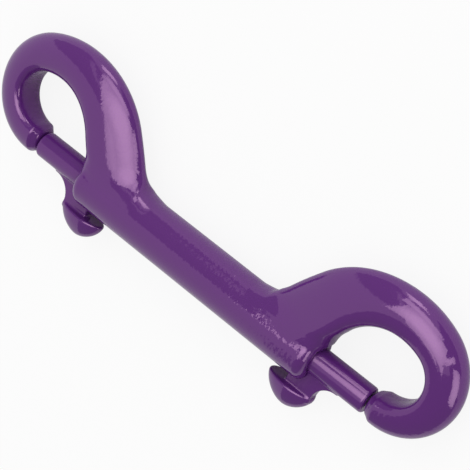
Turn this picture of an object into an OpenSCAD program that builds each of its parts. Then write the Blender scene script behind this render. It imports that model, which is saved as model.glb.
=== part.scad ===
// Double ended bolt snap, lying on its side: +X along the barrel, +Y towards the hooks, +Z up.
// All sizes are in millimetres. The right end is drawn, and the left end is its mirror image.

/* [Show] */
// Which piece to show

/* [Barrel] */
// Length from one mouth to the other
barrel_len = 60.6; // [40:0.5:120]
// Diameter of the barrel
barrel_d = 10.5; // [8:0.1:30]
// Radius on the rim of each mouth
mouth_edge_r = 1.9; // [0.2:0.1:3]
// Chamfer where the bolt goes in
mouth_chamfer = 0.3; // [0:0.05:1]
// Solid metal left between the two bores
middle_wall = 5; // [2:0.5:20]

/* [Bolt] */
// Diameter of the bolt
bolt_d = 5.5; // [3:0.1:15]
// Radial clearance between the bolt and its bore
bolt_clear = 0.05; // [0.02:0.01:0.1]
// Length of the bolt that stays behind the mouth when closed
bolt_tail = 11; // [4:0.1:30]
// How far the bolt can be pulled back
bolt_travel = 11.5; // [4:0.5:40]
// Radius on the edge of the bolt's tip
tip_edge_r = 0.6; // [0.1:0.05:1.5]
// Gap between the bolt's tip and the hook's nose
tip_gap = 0.3; // [0.1:0.05:1]
// Diameter of the spigot that centres the spring
spigot_d = 2.8; // [1:0.1:10]
// Length of the spigot
spigot_len = 1.8; // [0.5:0.1:6]

/* [Fin and thumb knob] */
// Thickness of the fin between the bolt and the knob
fin_t = 2.5; // [1:0.1:6]
// Clearance on each side of the fin in its slot
fin_clear = 0.3; // [0.1:0.05:1]
// How far the fin's front lies ahead of the knob's centre
fin_ahead = 4.7; // [0:0.1:10]
// Length of the fin where it meets the knob
fin_len = 5.8; // [2:0.1:15]
// Clearance behind the fin when the bolt is pulled back
slot_end_clear = 0.3; // [0.1:0.1:3]
// How far the knob's centre lies ahead of the mouth
knob_ahead = -2.2; // [-5:0.1:10]
// Distance from the bolt's axis to the knob's flat face
knob_drop = 7.0; // [6:0.1:30]
// Length of the knob along the barrel
knob_len = 10.9; // [4:0.1:25]
// Width of the knob
knob_w = 5.5; // [4:0.1:25]
// Height of the knob's dome
knob_h = 5.0; // [1:0.1:15]
// Squareness of the dome, where 2 is an ellipse
knob_power = 1.7; // [1.4:0.05:4]
// Radius on the knob's rim
knob_edge_r = 0.5; // [0.1:0.05:1.5]

/* [Hook path] */
// Distance from the mouth to the far side of the hook's centreline
eye_reach = 23.5; // [12:0.1:80]
// Radius of the bend at the far side
far_bend_r = 8.9; // [5:0.1:40]
// Radius of the crown's bend
crown_bend_r = 16.5; // [6:0.1:50]
// Angle at which the crown's bend turns into the far bend
crown_turn = 66; // [20:1:110]
// Radius of the bend from the barrel into the neck
neck_bend_r = 8.6; // [3:0.1:30]
// Angle between the neck and the barrel
neck_angle = 56; // [30:1:85]
// Length of the root that lies straight inside the barrel
root_len = 1.6; // [1:0.1:15]
// Length of the straight nose after the far bend
nose_len = 1.9; // [1:0.1:20]
// How far the nose's centre is lifted off the bolt's axis
nose_lift = 0.4; // [0:0.1:3]

/* [Hook section] */
// Squareness of the section at the root and the nose, where 2 is an ellipse
end_power = 2.2; // [1.6:0.05:4]
// Squareness of the outer side between them
outer_power = 1.75; // [1.6:0.05:4]
// Squareness of the side towards the hole between them
inner_power = 3.2; // [1.6:0.05:4]
// Reach to the outer side at the root
root_out = 4.5; // [2:0.1:15]
// Reach towards the hole at the root
root_in = 4.5; // [2:0.1:15]
// Thickness at the root
root_t = 9.6; // [4:0.1:30]
// Reach to the outer side at the foot of the neck
neck_out = 6.0; // [2:0.1:20]
// Reach towards the hole at the foot of the neck
neck_in = 5.8; // [2:0.1:20]
// Thickness at the foot of the neck
neck_t = 8.9; // [4:0.1:30]
// Reach to the outer side at the top of the neck
shoulder_out = 6.0; // [2:0.1:20]
// Reach towards the hole at the top of the neck
shoulder_in = 5.7; // [2:0.1:20]
// Thickness at the top of the neck
shoulder_t = 8.9; // [4:0.1:30]
// Reach to the outer side at the crown
crown_out = 4.5; // [1.5:0.1:15]
// Reach towards the hole at the crown
crown_in = 4.0; // [1.5:0.1:15]
// Thickness at the crown
crown_t = 8.3; // [3:0.1:30]
// Reach to the outer side at the far side
far_out = 3.9; // [1.5:0.1:15]
// Reach towards the hole at the far side
far_in = 3.1; // [1.5:0.1:15]
// Thickness at the far side
far_t = 7.6; // [3:0.1:30]
// Reach to the outer side at the heel, under the far side
heel_out = 3.5; // [1.5:0.1:15]
// Reach towards the hole at the heel, under the far side
heel_in = 3.0; // [1.5:0.1:15]
// Thickness at the heel, under the far side
heel_t = 7.3; // [3:0.1:30]
// Reach to the outer side at the throat behind the nose
throat_out = 3.1; // [1.5:0.1:15]
// Reach towards the hole at the throat behind the nose
throat_in = 2.9; // [1.5:0.1:15]
// Thickness at the throat behind the nose
throat_t = 6.6; // [3:0.1:30]
// Reach to the outer side at the nose
nose_out = 3.2; // [1.5:0.1:15]
// Reach towards the hole at the nose
nose_in = 3.2; // [1.5:0.1:15]
// Thickness at the nose
nose_t = 6.7; // [3:0.1:30]
// Radius on the nose's edge
nose_edge_r = 1.7; // [0.3:0.1:4]

/* [Spring] */
// Wire diameter
wire_d = 0.5; // [0.2:0.05:2]
// Outside diameter of the coil
coil_d = 4.8; // [2:0.1:14]
// Number of turns
coil_turns = 8; // [3:1:20]
// Gap at each end of the spring
spring_gap = 0.15; // [0.05:0.05:0.5]

/* [Hidden] */
coat = [0.345, 0.149, 0.463];
steel = [0.70, 0.70, 0.72];
overrun = 1;
bolt_way = 4;
ring_points = 22;
ring_step = 1.7;
edge_steps = 4;
wire_sides = 6;
turn_steps = 12;
round_facets = 48;
dome_steps = 7;
tail_chamfer = 0.3;

barrel_r = barrel_d / 2;
bolt_r = bolt_d / 2;
mouth_x = barrel_len / 2;
far_x = mouth_x + eye_reach - far_bend_r;
nose_x = far_x - nose_len;
tip_x = nose_x - tip_gap;
tail_x = mouth_x - bolt_tail;
bore_end_x = middle_wall / 2;
knob_x = mouth_x + knob_ahead;
fin_front_x = knob_x + fin_ahead;
fin_rear_x = fin_front_x - fin_len;
fin_blend_r = knob_drop - bolt_r;
slot_r = fin_t / 2 + fin_clear;
slot_round_x = fin_rear_x - bolt_travel - slot_end_clear;

// The hook's centreline: straight root, neck bend, straight neck, crown bend, far bend, straight nose.
far_c = [far_x, nose_lift + far_bend_r];
crown_c = far_c - (crown_bend_r - far_bend_r) * [cos(crown_turn), sin(crown_turn)];
neck_end = crown_c + crown_bend_r * [-sin(neck_angle), cos(neck_angle)];
neck_run = (neck_end.y - neck_bend_r * (1 - cos(neck_angle))) / sin(neck_angle);
neck_start = neck_end - neck_run * [cos(neck_angle), sin(neck_angle)];
neck_c = [neck_start.x - neck_bend_r * sin(neck_angle), neck_bend_r];

function arc_len(r, a) = r * a * PI / 180;
s_bend = root_len;
s_neck = s_bend + arc_len(neck_bend_r, neck_angle);
s_shoulder = s_neck + neck_run;
s_top = s_shoulder + arc_len(crown_bend_r, neck_angle);
s_turn = s_shoulder + arc_len(crown_bend_r, neck_angle + 90 - crown_turn);
s_far = s_turn + arc_len(far_bend_r, crown_turn);
s_heel = s_far + arc_len(far_bend_r, 90);
s_nose = s_heel + nose_len;
s_throat = (s_heel + s_nose) / 2;

// A point of the centreline and its heading in degrees, at length s from the start
function after_bend(c, r, a) = [c.x + r * cos(a), c.y + r * sin(a), a - 90];
function degrees_along(s, r) = s / r * 180 / PI;
function hook_at(s) =
    s < s_bend ? [neck_c.x - root_len + s, 0, 0] :
    s < s_neck ? let (a = degrees_along(s - s_bend, neck_bend_r))
        [neck_c.x + neck_bend_r * sin(a), neck_bend_r * (1 - cos(a)), a] :
    s < s_shoulder ? let (p = neck_start + (s - s_neck) * [cos(neck_angle), sin(neck_angle)])
        [p.x, p.y, neck_angle] :
    s < s_turn ? after_bend(crown_c, crown_bend_r,
        neck_angle + 90 - degrees_along(s - s_shoulder, crown_bend_r)) :
    s < s_heel ? after_bend(far_c, far_bend_r, crown_turn - degrees_along(s - s_turn, far_bend_r)) :
    [far_c.x - (s - s_heel), nose_lift, -180];

// The section at the stations along the hook, joined by smooth curves between them
stations = [0, s_neck, s_shoulder, s_top, s_far, s_heel, s_throat, s_nose];
out_reach = [root_out, neck_out, shoulder_out, crown_out, far_out, heel_out, throat_out, nose_out];
in_reach = [root_in, neck_in, shoulder_in, crown_in, far_in, heel_in, throat_in, nose_in];
half_thicks = [root_t, neck_t, shoulder_t, crown_t, far_t, heel_t, throat_t, nose_t] / 2;
power_share = [0, 1, 1, 1, 0.8, 0.6, 0.3, 0];
out_powers = [for (q = power_share) end_power + q * (outer_power - end_power)];
in_powers = [for (q = power_share) end_power + q * (inner_power - end_power)];
function slope(v, i) = i == 0 || i == len(v) - 1 ? 0 :
    (v[i + 1] - v[i - 1]) / (stations[i + 1] - stations[i - 1]);
function blend(v, i, q, d) = (1 + 2 * q) * (1 - q) * (1 - q) * v[i] + q * (1 - q) * (1 - q) * d * slope(v, i)
    + q * q * (3 - 2 * q) * v[i + 1] - q * q * (1 - q) * d * slope(v, i + 1);
function span_of(s) = max([for (i = [0 : len(stations) - 2]) if (s >= stations[i]) i]);
function along(v, s) = let (i = span_of(s), d = stations[i + 1] - stations[i])
    blend(v, i, (s - stations[i]) / d, d);

// One closed ring of the section at length s, drawn in by an inset
function power_of(c, n) = sign(c) * pow(abs(c), 2 / n);
function side_point(p, u, z) = [p.x - u * sin(p[2]), p.y + u * cos(p[2]), z];
function ring(s, inset) = let (p = hook_at(s), t = along(half_thicks, s) - inset)
    [for (i = [0 : ring_points - 1]) let (
        a = 360 * i / ring_points,
        is_out = cos(a) > 0,
        reach = along(is_out ? out_reach : in_reach, s) - inset,
        n = along(is_out ? out_powers : in_powers, s))
        side_point(p, reach * power_of(cos(a), n), t * power_of(sin(a), n))];

ring_count = ceil((s_nose - nose_edge_r) / ring_step);
body_rings = [for (i = [0 : ring_count]) ring((s_nose - nose_edge_r) * i / ring_count, 0)];
nose_rings = [for (i = [1 : edge_steps]) let (a = 90 * i / edge_steps)
    ring(s_nose - nose_edge_r * (1 - sin(a)), nose_edge_r * (1 - cos(a)))];
hook_rings = concat(body_rings, nose_rings);

hook_top = max([for (r = hook_rings) for (p = r) p.y]);
knob_low = -knob_drop - knob_h;
rest_height = max(barrel_r, knob_w / 2, max([for (r = hook_rings) for (p = r) p.z]));

// Solids
module in_row_frame() {
    translate([0, -(hook_top + knob_low) / 2, rest_height])
        children();
}

module both_ends() {
    children();
    mirror([1, 0, 0])
        children();
}

module along_x(x) {
    translate([x, 0, 0])
        rotate([0, 90, 0])
            children();
}

// Each ring runs anticlockwise seen from the ring after it
module loft(rings) {
    n = len(rings[0]);
    last = len(rings) - 1;
    sides = [for (i = [0 : last - 1]) for (j = [0 : n - 1]) let (k = (j + 1) % n)
        each [[i * n + j, (i + 1) * n + k, i * n + k], [i * n + j, (i + 1) * n + j, (i + 1) * n + k]]];
    start_cap = [[for (j = [0 : n - 1]) j]];
    end_cap = [[for (j = [n - 1 : -1 : 0]) last * n + j]];
    polyhedron(points = [for (r = rings) each r], faces = concat(sides, start_cap, end_cap));
}

module hook() {
    loft(hook_rings);
}

module barrel_skin() {
    upper = [for (i = [0 : edge_steps]) let (a = 90 * i / edge_steps)
        [barrel_r - mouth_edge_r * (1 - cos(a)), mouth_x - mouth_edge_r * (1 - sin(a))]];
    lower = [for (i = [edge_steps : -1 : 0]) [upper[i].x, -upper[i].y]];
    along_x(0)
        rotate_extrude($fn = round_facets)
            polygon(concat([[0, -mouth_x]], lower, upper, [[0, mouth_x]]));
}

module bore() {
    bore_r = bolt_r + bolt_clear;
    along_x(bore_end_x)
        cylinder(h = mouth_x - bore_end_x + bolt_way, r = bore_r, $fn = round_facets);
    along_x(mouth_x - mouth_chamfer)
        cylinder(h = mouth_chamfer + 0.01, r1 = bore_r, r2 = bore_r + mouth_chamfer, $fn = round_facets);
}

module fin_slot() {
    translate([slot_round_x, -barrel_r - overrun, -slot_r])
        cube([mouth_x - slot_round_x + overrun, barrel_r + overrun, 2 * slot_r]);
    translate([slot_round_x, 0, 0])
        rotate([90, 0, 0])
            cylinder(h = barrel_r + overrun, r = slot_r, $fn = round_facets);
}

module body() {
    color(coat)
        in_row_frame()
            difference() {
                union() {
                    barrel_skin();
                    both_ends()
                        hook();
                }
                both_ends() {
                    bore();
                    fin_slot();
                }
            }
}

// The right bolt: a turned shaft, the fin that rides in the slot, and the thumb knob
module shaft() {
    spigot_r = spigot_d / 2;
    tip = [for (i = [0 : edge_steps]) let (a = 90 * i / edge_steps)
        [bolt_r - tip_edge_r * (1 - cos(a)), tip_x - tip_edge_r * (1 - sin(a))]];
    tail = [[0, tail_x - spigot_len], [spigot_r - tail_chamfer, tail_x - spigot_len],
        [spigot_r, tail_x - spigot_len + tail_chamfer], [spigot_r, tail_x],
        [bolt_r - tail_chamfer, tail_x], [bolt_r, tail_x + tail_chamfer]];
    along_x(0)
        rotate_extrude($fn = round_facets)
            polygon(concat(tail, tip, [[0, tip_x]]));
}

module fin() {
    translate([0, 0, -fin_t / 2])
        linear_extrude(height = fin_t)
            difference() {
                translate([fin_rear_x, -knob_drop - knob_edge_r])
                    square([fin_len + fin_blend_r, knob_drop + knob_edge_r]);
                translate([fin_front_x + fin_blend_r, -bolt_r - fin_blend_r])
                    circle(r = fin_blend_r, $fn = round_facets);
                translate([fin_front_x, -knob_drop - knob_h])
                    square([fin_blend_r + overrun, knob_h]);
            }
}

module knob() {
    r = knob_w / 2;
    rim = [for (i = [0 : edge_steps]) let (a = 90 * i / edge_steps)
        [r - knob_edge_r * (1 - sin(a)), knob_edge_r * (1 - cos(a))]];
    dome = [for (i = [1 : dome_steps]) let (a = 90 * i / dome_steps)
        [r * power_of(cos(a), knob_power), knob_edge_r + (knob_h - knob_edge_r) * power_of(sin(a), knob_power)]];
    translate([knob_x, -knob_drop, 0])
        scale([knob_len / knob_w, 1, 1])
            rotate([90, 0, 0])
                rotate_extrude($fn = round_facets)
                    polygon(concat([[0, 0]], rim, dome));
}

module bolt() {
    shaft();
    fin();
    knob();
}

module bolt_right() {
    color(coat)
        in_row_frame()
            bolt();
}

module bolt_left() {
    color(coat)
        in_row_frame()
            mirror([1, 0, 0])
                bolt();
}

// The right spring: a helix between the bore's end and the bolt's tail
module spring() {
    start_x = bore_end_x + spring_gap + wire_d / 2;
    end_x = tail_x - spring_gap - wire_d / 2;
    coil_r = (coil_d - wire_d) / 2;
    count = coil_turns * turn_steps;
    loft([for (i = [0 : count]) let (a = 360 * i / turn_steps, x = start_x + (end_x - start_x) * i / count)
        [for (j = [0 : wire_sides - 1]) let (b = 360 * j / wire_sides, r = coil_r + wire_d / 2 * cos(b))
            [x - wire_d / 2 * sin(b), r * cos(a), r * sin(a)]]]);
}

module spring_right() {
    color(steel)
        in_row_frame()
            spring();
}

module spring_left() {
    color(steel)
        in_row_frame()
            mirror([1, 0, 0])
                spring();
}

body();
bolt_left();
bolt_right();
spring_left();
spring_right();
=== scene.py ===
"""A double ended bolt snap in glossy purple powder coat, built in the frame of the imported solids."""

import math
from typing import NamedTuple

import bpy
import numpy as np
from bpy.props import FloatProperty, FloatVectorProperty, IntProperty, PointerProperty
from mathutils import Matrix, Vector


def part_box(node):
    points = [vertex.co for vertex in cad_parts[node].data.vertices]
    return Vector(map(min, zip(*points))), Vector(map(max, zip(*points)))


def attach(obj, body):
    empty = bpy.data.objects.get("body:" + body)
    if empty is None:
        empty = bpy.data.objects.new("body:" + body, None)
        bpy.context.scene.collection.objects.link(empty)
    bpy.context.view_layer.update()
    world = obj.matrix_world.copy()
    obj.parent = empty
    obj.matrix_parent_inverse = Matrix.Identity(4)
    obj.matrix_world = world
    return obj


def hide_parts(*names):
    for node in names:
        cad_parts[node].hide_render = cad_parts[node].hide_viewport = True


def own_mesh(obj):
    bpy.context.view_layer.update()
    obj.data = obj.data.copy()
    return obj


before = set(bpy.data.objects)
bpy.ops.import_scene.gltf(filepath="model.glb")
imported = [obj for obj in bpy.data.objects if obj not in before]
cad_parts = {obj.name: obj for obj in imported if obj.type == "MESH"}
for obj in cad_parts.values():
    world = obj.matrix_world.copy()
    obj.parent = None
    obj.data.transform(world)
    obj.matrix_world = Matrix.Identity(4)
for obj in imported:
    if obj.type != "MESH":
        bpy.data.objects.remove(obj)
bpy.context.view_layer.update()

bl_info = {
    "name": "Double Ended Bolt Snap",
    "version": (1, 0, 0),
    "blender": (4, 5, 0),
    "location": "View3D > Sidebar > Bolt Snap",
    "description": "A powder coated snap with two spring bolts, and a plain studio to show it in",
    "category": "Object",
}

MM = 0.001

# The barrel's axis runs along X through the middle of the springs.
SPRING_LOW, SPRING_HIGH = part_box("spring_right")
BOLT_LOW, BOLT_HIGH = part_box("bolt_right")
AXIS = np.array([0.0, (SPRING_LOW.y + SPRING_HIGH.y) / 2, (SPRING_LOW.z + SPRING_HIGH.z) / 2])


def length(name, millimetres, text):
    """A length property whose default is given in millimetres."""
    return FloatProperty(name=name, description=text, default=millimetres * MM, min=0, unit="LENGTH", precision=5)


def angle(name, degrees, text):
    """An angle property whose default is given in degrees."""
    return FloatProperty(name=name, description=text, default=math.radians(degrees), unit="ROTATION")


def colour(name, rgb, text):
    """A linear colour property."""
    return FloatVectorProperty(name=name, description=text, default=rgb, size=3, min=0, max=1, subtype="COLOR")


class SnapBodySizes(bpy.types.PropertyGroup):
    """Sizes of the body casting"""

    barrel_length: length("Barrel length", 60.6, "Length from one mouth to the other")
    barrel_diameter: length("Barrel diameter", 10.5, "Outside diameter of the barrel")
    mouth_edge: length("Mouth edge", 1.9, "Radius on the rim of each mouth")
    middle_wall: length("Middle wall", 5, "Solid metal between the two bores")
    bore_diameter: length("Bore diameter", 5.6, "Diameter of the bore that guides the bolt")
    slot_width: length("Slot width", 3.1, "Width of the slot that the fin rides in")
    slot_start: length("Slot start", 15.2, "Distance from the middle to the centre of the slot's round end")
    eye_reach: length("Eye reach", 23.5, "Distance from the mouth to the far side of the centreline")
    far_bend: length("Far bend", 8.9, "Radius of the bend at the far side")
    crown_bend: length("Crown bend", 16.5, "Radius of the crown's bend")
    crown_turn: angle("Crown turn", 66, "Angle at which the crown's bend turns into the far bend")
    neck_angle: angle("Neck angle", 56, "Angle between the neck and the barrel")
    neck_bend: length("Neck bend", 8.6, "Radius of the bend from the barrel into the neck")
    root_length: length("Root length", 1.6, "Straight root inside the barrel")
    nose_length: length("Nose length", 1.9, "Straight nose after the far bend")
    nose_lift: length("Nose lift", 0.4, "Height of the nose's centre over the barrel's axis")
    nose_edge: length("Nose edge", 1.7, "Radius on the nose's edge")
    hook_blend: length("Hook blend", 4, "Width of the blend between the barrel and the hook")
    coat_edge: length("Coat edge", 0.3, "Radius that the coat leaves on the edges of bores and slots")
    inset: length("Inset", 0.04, "Depth under the solids' skin, which keeps the casting inside their box")
    grid: length("Grid", 0.3, "Distance between the points of the casting's mesh")


class SnapBoltSizes(bpy.types.PropertyGroup):
    """Sizes of the two bolts"""

    diameter: length("Bolt diameter", 5.5, "Diameter of the bolt")
    tip_edge: length("Tip edge", 0.6, "Radius on the edge of the bolt's tip")
    spigot_diameter: length("Spigot diameter", 2.8, "Diameter of the spigot that centres the spring")
    spigot_length: length("Spigot length", 1.8, "Length of the spigot")
    fin_thickness: length("Fin thickness", 2.5, "Thickness of the fin")
    fin_length: length("Fin length", 6.1, "Length of the fin where it meets the knob")
    fin_ahead: length("Fin ahead", 4.9, "Distance from the knob's centre to the fin's front")
    fin_blend: length("Fin blend", 0.5, "Width of the blends where the fin meets the bolt and the knob")
    knob_behind: length("Knob behind", 2.35, "Distance from the mouth back to the knob's centre")
    knob_drop: length("Knob drop", 7, "Distance from the bolt's axis to the knob's flat")
    knob_length: length("Knob length", 10.7, "Length of the knob along the barrel")
    knob_width: length("Knob width", 5.5, "Width of the knob")
    knob_height: length("Knob height", 5, "Height of the knob's dome")
    knob_power: FloatProperty(
        name="Dome's power", description="Squareness of the knob's dome, where 2 is an ellipse", default=1.7
    )
    knob_edge: length("Knob edge", 0.5, "Radius on the knob's rim")
    grid: length("Grid", 0.2, "Distance between the points of the bolt's mesh")


class SnapSpringSizes(bpy.types.PropertyGroup):
    """Sizes of the two springs"""

    wire: length("Wire", 0.5, "Diameter of the wire")
    coil: length("Coil", 4.8, "Outside diameter of the coil")
    turns: IntProperty(name="Turns", description="Number of turns", default=8, min=2)


class SnapLooks(bpy.types.PropertyGroup):
    """Colours of the snap and its studio"""

    coat: colour("Coat", (0.098, 0.020, 0.168), "Colour of the powder coat")
    gloss: colour("Gloss", (1.0, 0.61, 0.92), "Tint of the light that the coat mirrors")
    steel: colour("Steel", (0.55, 0.55, 0.56), "Colour of the springs")
    floor: colour("Floor", (0.85, 0.85, 0.85), "Colour of the floor")


def body_sizes():
    return bpy.context.scene.snap_body


def bolt_sizes():
    return bpy.context.scene.snap_bolt


def spring_sizes():
    return bpy.context.scene.snap_spring


def looks():
    return bpy.context.scene.snap_looks


# Distances to simple forms, in millimetres and negative inside. The two least values prevent a division by nought.

LEAST_WIDTH = 1e-6
LEAST_SHARE = 1e-3


def either(a, b, r):
    """The union of two forms, with a soft blend of width r where they meet."""
    overlap = np.maximum(r - np.abs(a - b), 0)
    return np.minimum(a, b) - overlap * overlap / (4 * np.maximum(r, LEAST_WIDTH))


def both(a, b, r):
    """What is in two forms at once, with the edge rounded to a radius of r."""
    return np.minimum(np.maximum(a, b), -r) + np.hypot(np.maximum(a + r, 0), np.maximum(b + r, 0))


def without(a, b, r):
    """The first form with the second cut out of it, and the edge rounded to a radius of r."""
    return both(a, -b, r)


def from_middle(share, away, least):
    """A distance from the surface, from a point's share of the way out to it and its distance from the middle."""
    reach = np.where(share > LEAST_SHARE, away / np.maximum(share, LEAST_SHARE), least)
    return (share - 1) * reach


class Line:
    """A straight stretch of the centreline, which may run on past its end."""

    def __init__(self, start, heading, size, after=0.0):
        self.start, self.heading, self.size, self.high = start, heading, size, size + after

    def nearest(self, x, y):
        """Length along the stretch, distance to its left, and distance from it."""
        dx, dy = x - self.start[0], y - self.start[1]
        c, s = math.cos(self.heading), math.sin(self.heading)
        along, side = dx * c + dy * s, dy * c - dx * s
        kept = np.clip(along, 0, self.high)
        return kept, side, np.hypot(along - kept, side)


class Arc:
    """A bend of the centreline. turn is 1 to the left and -1 to the right."""

    def __init__(self, centre, radius, first, sweep, turn):
        self.centre, self.radius, self.first, self.sweep, self.turn = centre, radius, first, sweep, turn
        self.size = radius * sweep

    def nearest(self, x, y):
        """Length along the bend, distance to its left, and distance from it."""
        dx, dy = x - self.centre[0], y - self.centre[1]
        turned = self.turn * (np.arctan2(dy, dx) - self.first) - self.sweep / 2
        turned = (turned + math.pi) % (2 * math.pi) - math.pi + self.sweep / 2
        kept = np.clip(turned, 0, self.sweep)
        at = self.first + self.turn * kept
        side = self.turn * (self.radius - np.hypot(dx, dy))
        away = np.hypot(dx - self.radius * np.cos(at), dy - self.radius * np.sin(at))
        return kept * self.radius, side, away


# How far the hook's centreline runs on past its nose, in millimetres
PAST_NOSE = 6.0


class HookPath:
    """The right hook's centreline: root, neck bend, neck, crown bend, far bend and nose."""

    def __init__(self, sizes):
        neck, turn, quarter = sizes.neck_angle, sizes.crown_turn, math.pi / 2
        far_r, crown_r, neck_r = sizes.far_bend / MM, sizes.crown_bend / MM, sizes.neck_bend / MM
        lift, nose, root = sizes.nose_lift / MM, sizes.nose_length / MM, sizes.root_length / MM
        far_x = (sizes.barrel_length / 2 + sizes.eye_reach - sizes.far_bend) / MM
        far = np.array([far_x, lift + far_r])
        crown = far - (crown_r - far_r) * np.array([math.cos(turn), math.sin(turn)])
        neck_end = crown + crown_r * np.array([-math.sin(neck), math.cos(neck)])
        run = (neck_end[1] - neck_r * (1 - math.cos(neck))) / math.sin(neck)
        neck_start = neck_end - run * np.array([math.cos(neck), math.sin(neck)])
        root_x = neck_start[0] - neck_r * math.sin(neck)
        self.pieces = [
            Line((root_x - root, 0.0), 0.0, root),
            Arc((root_x, neck_r), neck_r, -quarter, neck, 1),
            Line(neck_start, neck, run),
            Arc(crown, crown_r, neck + quarter, neck + quarter - turn, -1),
            Arc(far, far_r, turn, turn + quarter, -1),
            Line((far_x, lift), math.pi, nose, after=PAST_NOSE),
        ]
        self.starts = np.concatenate([[0.0], np.cumsum([piece.size for piece in self.pieces])])
        _, _, neck_low, shoulder, far_start, heel, self.nose = self.starts
        self.stations = np.array(
            [
                0,
                neck_low,
                shoulder,
                shoulder + crown_r * neck,
                far_start + far_r * turn,
                heel,
                (heel + self.nose) / 2,
                self.nose,
            ]
        )

    def nearest(self, x, y):
        """Length along the centreline, and distance to its left."""
        found = [piece.nearest(x, y) for piece in self.pieces]
        which = np.argmin([away for _, _, away in found], axis=0)
        along = np.choose(which, [start + kept for start, (kept, _, _) in zip(self.starts, found)])
        return along, np.choose(which, [side for _, side, _ in found])


class HookSection(NamedTuple):
    """The hook's section at a station of its centreline, with lengths in millimetres."""

    outer: float  # reach to the outer side
    inner: float  # reach to the side of the eye
    thickness: float
    ridge: float  # distance from the centreline to the thickest line, towards the eye
    outer_power: float  # how square the outer side is, where 2 is an ellipse
    inner_power: float


HOOK_SECTIONS = (
    HookSection(4.5, 4.5, 9.6, 0.0, 2.2, 2.2),  # root
    HookSection(6.0, 5.8, 8.9, 2.6, 1.75, 2.4),  # start of the neck
    HookSection(6.0, 5.7, 8.9, 2.9, 1.75, 2.4),  # shoulder
    HookSection(4.5, 4.0, 8.3, 0.3, 1.9, 2.8),  # top of the crown
    HookSection(3.9, 3.1, 7.6, 1.2, 2.05, 3.1),  # farthest point
    HookSection(3.5, 3.0, 7.3, 0.8, 2.07, 2.7),  # heel
    HookSection(3.1, 2.9, 6.6, 0.4, 2.1, 2.4),  # middle of the nose
    HookSection(3.2, 3.2, 6.7, 0.0, 2.2, 2.2),  # nose
)


def smooth_curve(at, stations, values):
    """A smooth curve through a value at each station, level at both ends."""
    values = np.array(values, float)
    slopes = np.zeros(len(values))
    slopes[1:-1] = (values[2:] - values[:-2]) / (stations[2:] - stations[:-2])
    i = np.clip(np.searchsorted(stations, at, side="right") - 1, 0, len(stations) - 2)
    span = (stations[1:] - stations[:-1])[i]
    q = np.clip((at - stations[i]) / span, 0, 1)
    near, far = (1 - q) ** 2, q * q
    return (
        near * ((1 + 2 * q) * values[i] + q * span * slopes[i])
        + far * ((3 - 2 * q) * values[i + 1] - (1 - q) * span * slopes[i + 1])
    )


# The blend between the barrel and the hook starts this far from the barrel's middle and is full after this run.
# It is also full this far over the barrel's axis, in millimetres. The power keeps it wide across the barrel.
BLEND_START = 12
BLEND_RUN = 5
BLEND_RISE = 4
BLEND_POWER = 4

# How far the bore and the slot are cut on past the mouth, in millimetres
BORE_PAST_MOUTH = 4
SLOT_PAST_MOUTH = 2


class BodyForm:
    """The body casting as a distance from its surface, in millimetres from the barrel's middle."""

    def __init__(self, sizes):
        self.path = HookPath(sizes)
        self.mouth = sizes.barrel_length / 2 / MM
        self.radius = sizes.barrel_diameter / 2 / MM
        self.mouth_edge = sizes.mouth_edge / MM
        self.nose_edge = sizes.nose_edge / MM
        self.bore = sizes.bore_diameter / 2 / MM
        self.bore_end = sizes.middle_wall / 2 / MM
        self.slot = sizes.slot_width / 2 / MM
        self.slot_start = sizes.slot_start / MM
        self.hook_blend = sizes.hook_blend / MM
        self.coat_edge = sizes.coat_edge / MM
        self.inset = sizes.inset / MM

    def hook(self, x, y, z):
        along, side = self.path.nearest(x, y)
        outer, inner, thickness, ridge, outer_power, inner_power = (
            smooth_curve(along, self.path.stations, values) for values in zip(*HOOK_SECTIONS)
        )
        side = side + ridge
        width, half = np.where(side > 0, outer + ridge, inner - ridge), thickness / 2
        power = np.where(side > 0, outer_power, inner_power)
        share = ((np.abs(side) / width) ** power + (np.abs(z) / half) ** power) ** (1 / power)
        rod = from_middle(share, np.hypot(side, z), np.minimum(width, half))
        return both(rod, along - self.path.nose, self.nose_edge)

    def distance(self, x, y, z):
        x = np.abs(x)
        out = np.hypot(y, z)
        barrel = both(out - self.radius, x - self.mouth, self.mouth_edge)
        # the blend fades out towards the middle of the barrel, towards its axis and on the two faces
        level = np.clip(1 - (z / self.radius) ** BLEND_POWER, 0, 1)
        level = level * np.clip(y / BLEND_RISE, 0, 1) * np.clip((x - BLEND_START) / BLEND_RUN, 0, 1)
        casting = either(barrel, self.hook(x, y, z), self.hook_blend * level)
        bore_way = np.maximum(self.bore_end - x, x - self.mouth - BORE_PAST_MOUTH)
        casting = without(casting, np.maximum(out - self.bore, bore_way), self.coat_edge)
        groove = np.where(x > self.slot_start, np.abs(z), np.hypot(x - self.slot_start, z)) - self.slot
        groove = np.maximum(np.maximum(groove, y), x - self.mouth - SLOT_PAST_MOUTH)
        return without(casting, groove, self.coat_edge) + self.inset


# Small radii of the bolt, and how far the fin reaches into the knob, in millimetres
SPIGOT_EDGE = 0.3
FIN_EDGE = 0.25
FIN_IN_KNOB = 1


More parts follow.
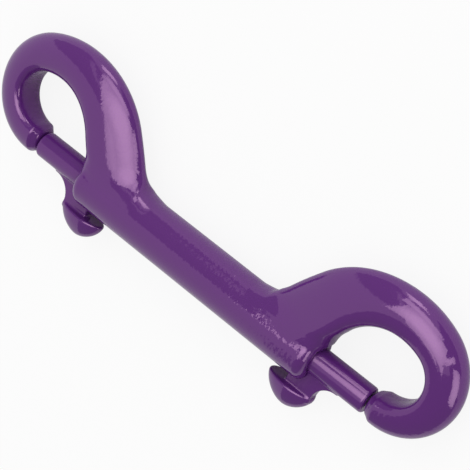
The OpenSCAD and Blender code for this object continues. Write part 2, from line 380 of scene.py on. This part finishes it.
class BoltForm:
    """The right bolt as a distance from its surface, in millimetres from the barrel's middle."""

    def __init__(self, sizes, mouth):
        self.radius = sizes.diameter / 2 / MM
        self.tip_edge = sizes.tip_edge / MM
        self.spigot = sizes.spigot_diameter / 2 / MM
        self.spigot_end = BOLT_LOW.x / MM
        self.tail = self.spigot_end + sizes.spigot_length / MM
        tip = BOLT_HIGH.x / MM
        self.middle, self.half = (tip + self.tail) / 2, (tip - self.tail) / 2
        self.knob = np.array([mouth - sizes.knob_behind / MM, -sizes.knob_drop / MM, 0.0])
        self.knob_half = np.array([sizes.knob_length / 2, sizes.knob_height, sizes.knob_width / 2]) / MM
        self.knob_edge, self.knob_power = sizes.knob_edge / MM, sizes.knob_power
        self.fin_front = self.knob[0] + sizes.fin_ahead / MM
        self.fin_rear = self.fin_front - sizes.fin_length / MM
        self.fin = sizes.fin_thickness / 2 / MM
        self.fin_blend = sizes.fin_blend / MM

    def distance(self, x, y, z):
        out = np.hypot(y, z)
        shaft = both(out - self.radius, np.abs(x - self.middle) - self.half, self.tip_edge)
        spigot = both(out - self.spigot, np.abs(x - self.tail) - (self.tail - self.spigot_end), SPIGOT_EDGE)
        # the fin's front sweeps up to the bolt in a quarter circle
        curve = -self.knob[1] - self.radius
        ahead = curve - np.hypot(np.minimum(x - self.fin_front - curve, 0), np.maximum(y - self.knob[1], 0))
        profile = np.maximum(np.maximum(self.fin_rear - x, ahead), np.maximum(y, self.knob[1] - FIN_IN_KNOB - y))
        profile = np.maximum(profile, x - self.fin_front - curve)
        fin = both(profile, np.abs(z) - self.fin, FIN_EDGE)
        a, h, b = self.knob_half
        along, down, p = x - self.knob[0], y - self.knob[1], self.knob_power
        share = (np.hypot(along / a, z / b) ** p + np.abs(down / h) ** p) ** (1 / p)
        dome = from_middle(share, np.sqrt(along**2 + down**2 + z**2), min(a, h, b))
        knob = both(dome, down, self.knob_edge)
        return either(either(np.minimum(shaft, spigot), fin, self.fin_blend), knob, self.fin_blend)


def gradient(distance, points, step=0.02):
    """How the distance changes along X, Y and Z at each point."""
    parts = []
    for axis in np.eye(3) * step:
        ahead, behind = (points + axis).T, (points - axis).T
        parts.append((distance(*ahead) - distance(*behind)) / (2 * step))
    return np.stack(parts, axis=-1)


# How often a net's points are moved onto the surface, and the least slope that this trusts
SETTLING_ROUNDS = 3
LEAST_SLOPE_SQUARED = 0.25


def surface_net(distance, low, high, cell):
    """Points, normals and four-sided faces of the surface where the distance is nought."""
    axes = [np.arange(a - cell, b + 2 * cell, cell) for a, b in zip(low, high)]
    x, y, z = np.meshgrid(*axes, indexing="ij", sparse=True)
    values = np.broadcast_to(distance(x, y, z), [len(a) for a in axes])
    inside = values < 0
    shape = tuple(n - 1 for n in values.shape)
    # each cell that the surface crosses gets a point, at the middle of the crossings on its edges
    total, count = np.zeros(shape + (3,)), np.zeros(shape)
    for axis in range(3):
        others = [a for a in range(3) if a != axis]
        for du in (0, 1):
            for dv in (0, 1):
                near, far = [slice(0, n) for n in shape], [slice(0, n) for n in shape]
                for other, shift in zip(others, (du, dv)):
                    near[other] = far[other] = slice(shift, shape[other] + shift)
                far[axis] = slice(1, shape[axis] + 1)
                a, b = values[tuple(near)], values[tuple(far)]
                crossed = inside[tuple(near)] != inside[tuple(far)]
                share = np.where(crossed, a / np.where(crossed, a - b, 1), 0)
                total[..., axis] += share
                total[..., others[0]] += du * crossed
                total[..., others[1]] += dv * crossed
                count += crossed
    used = count > 0
    number = np.full(shape, -1)
    number[used] = np.arange(used.sum())
    corner = np.argwhere(used) + total[used] / count[used][:, None]
    points = np.array([a[0] for a in axes]) + corner * cell
    # each crossed edge gets a face between the points of the four cells round it
    faces = []
    for axis in range(3):
        others = [(axis + 1) % 3, (axis + 2) % 3]
        near, far = [slice(1, n) for n in shape], [slice(1, n) for n in shape]
        near[axis], far[axis] = slice(0, shape[axis]), slice(1, shape[axis] + 1)
        a, b = inside[tuple(near)], inside[tuple(far)]
        at = np.argwhere(a != b) + [0 if i == axis else 1 for i in range(3)]
        ring = []
        for du, dv in ((1, 1), (0, 1), (0, 0), (1, 0)):
            shifted = at.copy()
            shifted[:, others[0]] -= du
            shifted[:, others[1]] -= dv
            ring.append(number[tuple(shifted.T)])
        ring = np.stack(ring, axis=-1)
        outward = a[a != b]
        faces.append(np.where(outward[:, None], ring, ring[:, ::-1]))
    for _ in range(SETTLING_ROUNDS):
        slope = gradient(distance, points)
        steepness = np.maximum((slope**2).sum(axis=1), LEAST_SLOPE_SQUARED)
        move = distance(*points.T)[:, None] * slope / steepness[:, None]
        points -= np.clip(move, -cell / 2, cell / 2)
    slope = gradient(distance, points)
    return points, slope / np.linalg.norm(slope, axis=1)[:, None], np.concatenate(faces)


def form_net(form, corners, grid):
    """The net of a form inside the box of its solid."""
    low, high = ((np.array(corner) - AXIS) / MM for corner in corners)
    return surface_net(form.distance, low, high, grid / MM)


def mesh_object(name, points, faces, normals=None):
    """A smooth mesh object from points in millimetres from the barrel's middle."""
    mesh = bpy.data.meshes.new(name)
    mesh.from_pydata((points * MM + AXIS).tolist(), [], faces.tolist())
    mesh.polygons.foreach_set("use_smooth", np.ones(len(mesh.polygons), bool))
    if normals is not None:
        mesh.normals_split_custom_set_from_vertices(normals.tolist())
    mesh.update()
    made = bpy.data.objects.new(name, mesh)
    bpy.context.scene.collection.objects.link(made)
    return made


def mirrored(points, faces, normals):
    """The same net seen in a mirror across the middle of the barrel."""
    flip = np.array([-1.0, 1.0, 1.0])
    return points * flip, faces[:, ::-1], normals * flip


# Shader graphs


def add_node(tree, kind, output=0, settings=(), **inputs):
    """A new node of any kind. Its settings come first, then its inputs, by name or as _0 and _1 by number."""
    made = tree.nodes.new(kind)
    for key, value in dict(settings).items():
        setattr(made, key, value)
    for key, value in inputs.items():
        socket = made.inputs[int(key[1:]) if key[0] == "_" else key.replace("_", " ")]
        if isinstance(value, Wire):
            tree.links.new(value.socket, socket)
        else:
            socket.default_value = value
    return Wire(tree, made.outputs[output])


class Wire:
    """An output of a shader node. An expression on wires and numbers adds the nodes that work it out."""

    def __init__(self, tree, socket):
        self.tree, self.socket = tree, socket

    def other(self, output):
        """Another output of the same node."""
        return Wire(self.tree, self.socket.node.outputs[output])

    def maths(self, operation, *values):
        inputs = {f"_{i}": value for i, value in enumerate(values)}
        return add_node(self.tree, "ShaderNodeMath", 0, {"operation": operation}, **inputs)

    def __add__(self, other):
        return self.maths("ADD", self, other)

    def __sub__(self, other):
        return self.maths("SUBTRACT", self, other)

    def __rsub__(self, other):
        return self.maths("SUBTRACT", other, self)

    def __mul__(self, other):
        return self.maths("MULTIPLY", self, other)

    __radd__ = __add__
    __rmul__ = __mul__

    def absolute(self):
        return self.maths("ABSOLUTE", self)

    def step(self, low, high):
        """A smooth rise from 0 to 1 between two values."""
        settings = {"interpolation_type": "SMOOTHSTEP"}
        return add_node(self.tree, "ShaderNodeMapRange", 0, settings, Value=self, From_Min=low, From_Max=high)

    def lumps(self, size, detail=1.0):
        """Noise from -1 to 1 at this place, with lumps of this size in metres."""
        return add_node(self.tree, "ShaderNodeTexNoise", 0, Vector=self, Scale=1 / size, Detail=detail) * 2 - 1


def feed(node, socket, wire):
    wire.tree.links.new(wire.socket, node.inputs[socket])


def material(name, **sockets):
    """A new material and its Principled shader, with the sockets that are the same all over."""
    made = bpy.data.materials.new(name)
    made.use_nodes = True
    shader = made.node_tree.nodes["Principled BSDF"]
    for key, value in sockets.items():
        shader.inputs[key.replace("_", " ")].default_value = value
    return made, shader


def place_on(made):
    """The place of each point, which is also its place in the frame, because every piece sits at the origin."""
    return add_node(made.node_tree, "ShaderNodeTexCoord", "Object")


class CoatBumps(NamedTuple):
    """Heights of the bumps in a coat, in metres."""

    peel: float
    ripple: float


COAT_ROUGHNESS = 0.08
COAT_IOR = 1.7
PEEL_SIZE = 0.7 * MM
RIPPLE_SIZE = 3.2 * MM
BODY_BUMPS = CoatBumps(0.007 * MM, 0.012 * MM)
BOLT_BUMPS = CoatBumps(0.002 * MM, 0.008 * MM)
WIRE_ROUGHNESS = 0.32
WIRE_UNEVENNESS = 0.06
WIRE_LUMP_SIZE = 0.4 * MM
FLOOR_ROUGHNESS = 0.9

# Marks of the casting on the barrel. A pair is where one of them comes in or fades out, in millimetres from
# the barrel's middle.
PEBBLE_SIZE = 0.8 * MM
PEBBLE_HEIGHT = 0.024 * MM
PEBBLES_ALONG = (-18, 8)
PEBBLES_LOW_EDGE = (-1.5, 1)
PEBBLES_HIGH_EDGE = (4, 6)
PARTING_HEIGHT = 0.01 * MM
PARTING_WIDTH = (0, 0.2)
PARTING_LOW_EDGE = (4, 5)
PARTING_ENDS = (18, 24)


def rise(wire, span, middle=0.0):
    """A smooth rise from 0 to 1 over a span in millimetres."""
    low, high = span
    return wire.step(middle + low * MM, middle + high * MM)


def barrel_marks(place):
    """What the casting left on the barrel: pebbles towards its right end and a thin parting line."""
    x = add_node(place.tree, "ShaderNodeSeparateXYZ", "X", Vector=place)
    y, z = x.other("Y"), x.other("Z")
    strip = rise(y, PEBBLES_LOW_EDGE, AXIS[1]) * (1 - rise(y, PEBBLES_HIGH_EDGE, AXIS[1]))
    pebbles = place.lumps(PEBBLE_SIZE) * PEBBLE_HEIGHT * rise(x, PEBBLES_ALONG) * strip
    line = (1 - rise((z - AXIS[2]).absolute(), PARTING_WIDTH)) * rise(y, PARTING_LOW_EDGE, AXIS[1])
    return pebbles + line * PARTING_HEIGHT * (1 - rise(x.absolute(), PARTING_ENDS))


def coat_material(name, bumps, pebbled=False):
    """Glossy powder coat over a casting: orange peel, with the casting's ripples under it."""
    made, shader = material(
        name,
        Base_Color=(*looks().coat, 1),
        Roughness=COAT_ROUGHNESS,
        IOR=COAT_IOR,
        Specular_Tint=(*looks().gloss, 1),
    )
    place = place_on(made)
    height = place.lumps(PEEL_SIZE) * bumps.peel + place.lumps(RIPPLE_SIZE) * bumps.ripple
    if pebbled:
        height = height + barrel_marks(place)
    feed(shader, "Normal", add_node(made.node_tree, "ShaderNodeBump", Height=height, Strength=1.0, Distance=1.0))
    return made


def steel_material():
    """Drawn spring wire."""
    made, shader = material("spring_wire", Base_Color=(*looks().steel, 1), Metallic=1.0)
    lumps = place_on(made).lumps(WIRE_LUMP_SIZE, detail=2.0)
    feed(shader, "Roughness", lumps * WIRE_UNEVENNESS + WIRE_ROUGHNESS)
    return made


def finish_piece(piece, node, look):
    """Gives a piece its material and puts it in the place of a solid."""
    piece.data.materials.append(look)
    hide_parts(node)


class SNAP_OT_body(bpy.types.Operator):
    """Add the body: the barrel and its two hooks"""

    bl_idname = "snap.body"
    bl_label = "Body"

    def execute(self, context):
        sizes = body_sizes()
        points, normals, faces = form_net(BodyForm(sizes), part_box("body"), sizes.grid)
        piece = mesh_object("snap_body", points, faces, normals)
        finish_piece(piece, "body", coat_material("powder_coat", BODY_BUMPS, pebbled=True))
        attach(piece, "body")
        return {"FINISHED"}


class SNAP_OT_bolts(bpy.types.Operator):
    """Add the two bolts with their fins and thumb knobs"""

    bl_idname = "snap.bolts"
    bl_label = "Bolts"

    def execute(self, context):
        sizes = bolt_sizes()
        form = BoltForm(sizes, body_sizes().barrel_length / 2 / MM)
        points, normals, faces = form_net(form, (BOLT_LOW, BOLT_HIGH), sizes.grid)
        coat = coat_material("powder_coat_bolts", BOLT_BUMPS)
        right = mesh_object("snap_bolt_right", points, faces, normals)
        points, faces, normals = mirrored(points, faces, normals)
        left = mesh_object("snap_bolt_left", points, faces, normals)
        for piece, node in ((right, "bolt_right"), (left, "bolt_left")):
            finish_piece(piece, node, coat)
            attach(piece, node)
        return {"FINISHED"}


# How much closer a spring's end turns lie than turns that are evenly spaced
CLOSED_ENDS = 0.15


def coil(start, end, sizes, sides=10, steps=28):
    """Points and faces of a round wire wound about the barrel's axis from start to end."""
    wire, radius = sizes.wire / 2 / MM, (sizes.coil - sizes.wire) / 2 / MM
    count = sizes.turns * steps
    turned = np.linspace(0, 2 * math.pi * sizes.turns, count + 1)[:, None]
    share = np.linspace(-1, 1, count + 1)[:, None]
    spaced = share * (1 + CLOSED_ENDS - CLOSED_ENDS * share * share)
    along = start + wire + (end - start - 2 * wire) * (spaced + 1) / 2
    around = np.linspace(0, 2 * math.pi, sides, endpoint=False)
    out = radius + wire * np.cos(around)
    points = np.stack([along - wire * np.sin(around), out * np.cos(turned), out * np.sin(turned)], axis=-1)
    i, j = np.meshgrid(np.arange(count), np.arange(sides), indexing="ij")
    k = (j + 1) % sides
    faces = np.stack([i * sides + k, (i + 1) * sides + k, (i + 1) * sides + j, i * sides + j], axis=-1)
    # each cut end of the wire is closed by a fan
    fan = np.array([(0, n, n + 1, n + 2) for n in range(1, sides - 1, 2)])
    return points.reshape(-1, 3), np.concatenate([faces.reshape(-1, 4), fan, fan[:, ::-1] + count * sides])


class SNAP_OT_springs(bpy.types.Operator):
    """Add the spring behind each bolt"""

    bl_idname = "snap.springs"
    bl_label = "Springs"

    def execute(self, context):
        start, end = SPRING_LOW.x / MM, SPRING_HIGH.x / MM
        points, faces = coil(start, end, spring_sizes())
        wire = steel_material()
        for side, sign in (("right", 1), ("left", -1)):
            turned = points * [sign, 1, 1]
            piece = mesh_object(f"snap_spring_{side}", turned, faces if sign > 0 else faces[:, ::-1])
            finish_piece(piece, f"spring_{side}", wire)
            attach(piece, "body")
            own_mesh(piece)
        return {"FINISHED"}


# Where the photograph was taken from
PHOTO_SIDE = 470  # pixels
CAMERA_FOCUS = 1531.6  # pixels
CAMERA_TARGET = (4.302, 10.03, 0.0)  # millimetres from the barrel's middle
CAMERA_DISTANCE = 284.2  # millimetres from the target
CAMERA_SIDE = 0.3925  # how much of the way to the camera is along X
CAMERA_FRONT = 0.4472  # how much of it is along Y
CAMERA_ROLL = math.radians(-37.734)
CAMERA_NEAREST = 0.01  # metres
SENSOR_MM = 36.0


def camera_axes():
    """The camera's right, up and backward directions in the row frame."""
    back = Vector((CAMERA_SIDE, CAMERA_FRONT, math.sqrt(1 - CAMERA_SIDE**2 - CAMERA_FRONT**2)))
    along = (Vector((1, 0, 0)) - back * back.x).normalized()
    across = back.cross(along)
    c, s = math.cos(CAMERA_ROLL), math.sin(CAMERA_ROLL)
    return c * along - s * across, s * along + c * across, back


class StudioPanel(NamedTuple):
    """A flat panel that faces the snap. Angles are in degrees and lengths in metres."""

    name: str
    swing: float  # from the lens
    clock: float  # round the lens, from its right towards its top
    roll: float
    distance: float
    width: float
    height: float
    level: float  # radiance, where 1 is white
    fade: float = 0  # share that is lost towards the rim


# Softboxes whose shapes show in the glossy coat
SOFTBOXES = (
    StudioPanel("over_lens", 13, 173, 40, 0.21, 0.21, 0.18, 4.8, 0.4),
    StudioPanel("beside_lens", 26, 166, 52, 0.47, 0.64, 0.15, 3.8, 0.3),
    StudioPanel("low_right", 50, -47, 152, 0.16, 0.06, 0.09, 3.7, 0.3),
    StudioPanel("high_far", 60, 74, 156, 0.48, 0.16, 0.14, 4.3, 0.3),
    StudioPanel("near_top", 30, 79, 32, 0.25, 0.09, 0.18, 3.7, 0.3),
    StudioPanel("strip_right", 13.5, -69, 13, 0.47, 0.55, 0.06, 3.7, 0.3),
    StudioPanel("strip_top", 44, 119, 58, 0.47, 0.37, 0.04, 0.9, 0.3),
    StudioPanel("before_lens", 1.3, 132, 30, 0.25, 0.07, 0.06, 2.0, 0.3),
)

# Dark cards behind them, which keep the coat's colour deep between the lights
CARDS = (
    StudioPanel("card_right", 38.5, 5, 51, 0.83, 1.13, 0.85, 0.24),
    StudioPanel("card_top", 49, 127, 82, 0.85, 1.82, 0.68, 0.33),
    StudioPanel("card_low", 27.5, -60, 2, 0.5, 0.12, 0.18, 0.23),
    StudioPanel("card_below", 80, -99, 24, 1.46, 3.3, 3.6, 0.28),
)

# The one lamp, which lights the snap without showing in it
FILL = StudioPanel("fill", 40, 100, 0, 0.9, 0.8, 0.8, 1.5)

# Where a panel starts to fade and where the fade is full, as shares of the way from its middle to its sides
FADE_SPAN = (0.3, 1.3)

FLOOR_SIDE = 8.0

# How white the floor shows to the camera, how white the floor and the surround show in gloss, and how much light
# the surround casts. To the camera the surround is plain white.
FLOOR_WHITE = 0.88
FLOOR_MIRRORED = 0.15
WORLD_MIRRORED = 0.86
WORLD_LEVEL = 0.75


def panel_place(panel):
    """Where a panel stands and how it is turned, as one matrix. Its own Z axis points away from the snap."""
    right, up, back = camera_axes()
    swing, clock, roll = (math.radians(value) for value in (panel.swing, panel.clock, panel.roll))
    out = math.cos(swing) * back + math.sin(swing) * (math.cos(clock) * right + math.sin(clock) * up)
    across = (right - out * right.dot(out)).normalized()
    turned = math.cos(roll) * across + math.sin(roll) * out.cross(across)
    axes = Matrix((turned, out.cross(turned), out)).transposed().to_4x4()
    return Matrix.Translation(Vector((0, 0, AXIS[2])) + out * panel.distance) @ axes


def add_lamp(panel):
    """An area lamp that lights the snap and shows neither to the camera nor in gloss."""
    data = bpy.data.lights.new(panel.name, "AREA")
    data.shape = "RECTANGLE"
    data.size, data.size_y = panel.width, panel.height
    data.energy = panel.level * panel.width * panel.height * math.pi
    made = bpy.data.objects.new(panel.name, data)
    bpy.context.scene.collection.objects.link(made)
    made.matrix_world = panel_place(panel)
    made.visible_camera = made.visible_glossy = False


def plane(name, width, height, look):
    mesh = bpy.data.meshes.new(name)
    x, y = width / 2, height / 2
    mesh.from_pydata([(-x, -y, 0), (x, -y, 0), (x, y, 0), (-x, y, 0)], [], [(0, 1, 2, 3)])
    mesh.materials.append(look)
    made = bpy.data.objects.new(name, mesh)
    bpy.context.scene.collection.objects.link(made)
    return made


def panel_material(panel):
    """A panel's glow, which may fade towards the rim."""
    made, shader = material(
        panel.name, Base_Color=(0, 0, 0, 1), Specular_IOR_Level=0, Emission_Strength=panel.level
    )
    scale = (2 / panel.width, 2 / panel.height, 0)
    multiply, measure = {"operation": "MULTIPLY"}, {"operation": "LENGTH"}
    share = add_node(made.node_tree, "ShaderNodeVectorMath", 0, multiply, _0=place_on(made), _1=scale)
    out = add_node(made.node_tree, "ShaderNodeVectorMath", "Value", measure, _0=share)
    feed(shader, "Emission Color", 1 - out.step(*FADE_SPAN) * panel.fade)
    return made


def add_panel(panel):
    """A panel that shows in glossy reflections alone."""
    made = plane(panel.name, panel.width, panel.height, panel_material(panel))
    made.matrix_world = panel_place(panel)
    made.visible_camera = made.visible_diffuse = made.visible_transmission = False
    made.visible_volume_scatter = made.visible_shadow = False


def add_camera(scene):
    """The photograph's camera."""
    right, up, back = camera_axes()
    data = bpy.data.cameras.new("photo_camera")
    data.sensor_width = SENSOR_MM
    data.lens = CAMERA_FOCUS / PHOTO_SIDE * SENSOR_MM
    data.clip_start = CAMERA_NEAREST
    camera = bpy.data.objects.new("photo_camera", data)
    scene.collection.objects.link(camera)
    target = Vector(AXIS) + Vector(CAMERA_TARGET) * MM
    turn = Matrix((right, up, back)).transposed().to_4x4()
    camera.matrix_world = Matrix.Translation(target + back * CAMERA_DISTANCE * MM) @ turn
    scene.camera = camera


def seen_directly(tree, mirrored):
    """1 for the camera's own rays, a share for those that gloss or glass passes on, and 0 for the others."""
    camera = add_node(tree, "ShaderNodeLightPath", "Is Camera Ray")
    passed_on = camera.other("Is Glossy Ray") + camera.other("Is Transmission Ray")
    return camera.maths("MAXIMUM", camera, passed_on * mirrored)


def floor_material():
    """A pale floor that shows white to the camera and keeps the snap's shadow."""
    made, shader = material(
        "floor", Base_Color=(*looks().floor, 1), Roughness=FLOOR_ROUGHNESS, Specular_IOR_Level=0.0
    )
    tree = made.node_tree
    share = seen_directly(tree, FLOOR_MIRRORED / FLOOR_WHITE) * FLOOR_WHITE
    white = add_node(tree, "ShaderNodeEmission")
    mixed = add_node(tree, "ShaderNodeMixShader", _0=share, _1=Wire(tree, shader.outputs[0]), _2=white)
    feed(tree.nodes["Material Output"], "Surface", mixed)
    return made


def set_world(scene):
    """A white surround, softer for the light that it casts."""
    world = bpy.data.worlds.new("studio")
    scene.world = world
    world.use_nodes = True
    background = world.node_tree.nodes["Background"]
    background.inputs["Color"].default_value = (1, 1, 1, 1)
    seen = seen_directly(world.node_tree, WORLD_MIRRORED)
    feed(background, "Strength", seen.maths("MAXIMUM", seen, WORLD_LEVEL))


class SNAP_OT_stage(bpy.types.Operator):
    """Add the floor, the lights and the camera"""

    bl_idname = "snap.stage"
    bl_label = "Stage"

    def execute(self, context):
        scene = context.scene
        add_camera(scene)
        plane("floor", FLOOR_SIDE, FLOOR_SIDE, floor_material())
        set_world(scene)
        for panel in SOFTBOXES + CARDS:
            add_panel(panel)
        add_lamp(FILL)
        scene.view_settings.view_transform = "Standard"
        return {"FINISHED"}


class SNAP_PT_panel(bpy.types.Panel):
    """The snap's pieces and stage"""

    bl_idname = "SNAP_PT_panel"
    bl_label = "Double Ended Bolt Snap"
    bl_space_type = "VIEW_3D"
    bl_region_type = "UI"
    bl_category = "Bolt Snap"

    def draw(self, context):
        for operator in OPERATORS:
            self.layout.operator(operator.bl_idname)
        for group in (body_sizes(), bolt_sizes(), spring_sizes(), looks()):
            box = self.layout.box()
            for name in group.bl_rna.properties.keys():
                if name not in ("rna_type", "name"):
                    box.prop(group, name)


GROUPS = {
    "snap_body": SnapBodySizes,
    "snap_bolt": SnapBoltSizes,
    "snap_spring": SnapSpringSizes,
    "snap_looks": SnapLooks,
}
OPERATORS = (SNAP_OT_body, SNAP_OT_bolts, SNAP_OT_springs, SNAP_OT_stage)


def register():
    for item in (*GROUPS.values(), *OPERATORS, SNAP_PT_panel):
        bpy.utils.register_class(item)
    for name, group in GROUPS.items():
        setattr(bpy.types.Scene, name, PointerProperty(type=group))


def unregister():
    for name in GROUPS:
        delattr(bpy.types.Scene, name)
    for item in reversed((*GROUPS.values(), *OPERATORS, SNAP_PT_panel)):
        bpy.utils.unregister_class(item)


def main():
    register()
    bpy.ops.snap.body()
    bpy.ops.snap.bolts()
    bpy.ops.snap.springs()
    bpy.ops.snap.stage()


if __name__ == "__main__":
    main()
